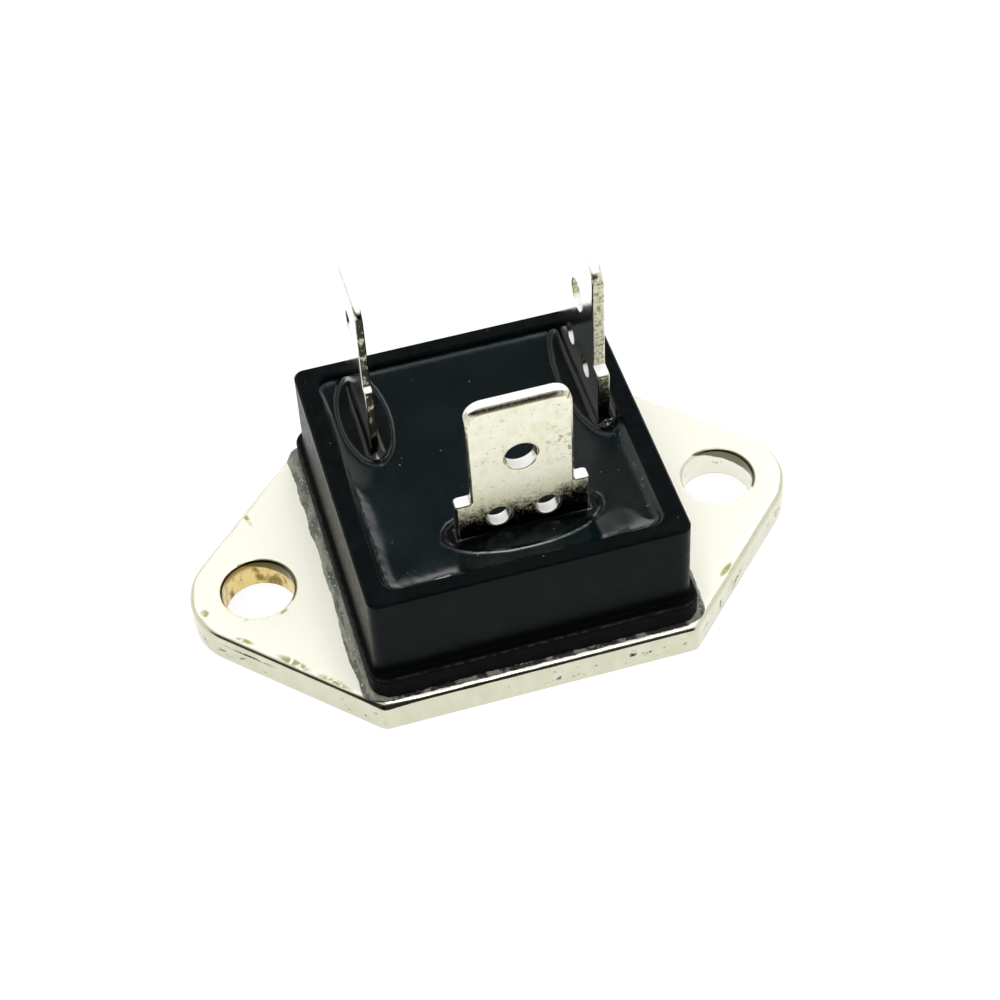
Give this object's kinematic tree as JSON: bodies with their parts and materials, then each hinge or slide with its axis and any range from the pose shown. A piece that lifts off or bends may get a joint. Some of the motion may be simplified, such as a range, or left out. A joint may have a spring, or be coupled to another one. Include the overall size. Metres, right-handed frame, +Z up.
{
  "type": "triac",
  "caption": "Potted isolated triac module: black square case on a hexagonal heat-sink plate with screw holes at its points, and upright push-on tabs.",
  "frame": {"origin": "on the underside of the base plate, midway between the two screw holes", "axes": "+X along the line of the screw holes, +Y to the back (away from the broad face of the front terminal), +Z up, out of the resin"},
  "size_m": [0.0386, 0.0224, 0.0212],
  "materials": {
    "nickel_plate": "satin nickel plating on copper",
    "case_plastic": "moulded, fine satin",
    "adhesive": "matt, squeezed out",
    "resin": "cast, glossy",
    "gel": "clear, soft",
    "solder": "dull",
    "copper": "bare foil",
    "ceramic": "white alumina",
    "silicon": "metallised silicon",
    "tinned_wire": "tinned copper",
    "terminal_plating": "tin plating on brass, fine grain"
  },
  "bodies": {
    "root": {"base_plate": "nickel_plate", "case": "case_plastic", "case_adhesive": "adhesive", "potting_resin": "resin", "silicone_gel": "gel", "insulator_solder": "solder", "insulator_copper": "copper", "insulator_ceramic": "ceramic", "main_2_land": "copper", "gate_land": "copper", "main_2_solder": "solder", "gate_foot_solder": "solder", "chip_lower_solder": "solder", "triac_chip": "silicon", "chip_upper_solder": "solder", "gate_wire": "tinned_wire", "gate_wire_joints": "solder", "main_terminal_1": "terminal_plating", "main_terminal_2": "terminal_plating", "gate_terminal": "terminal_plating"}
  },
  "joints": []
}
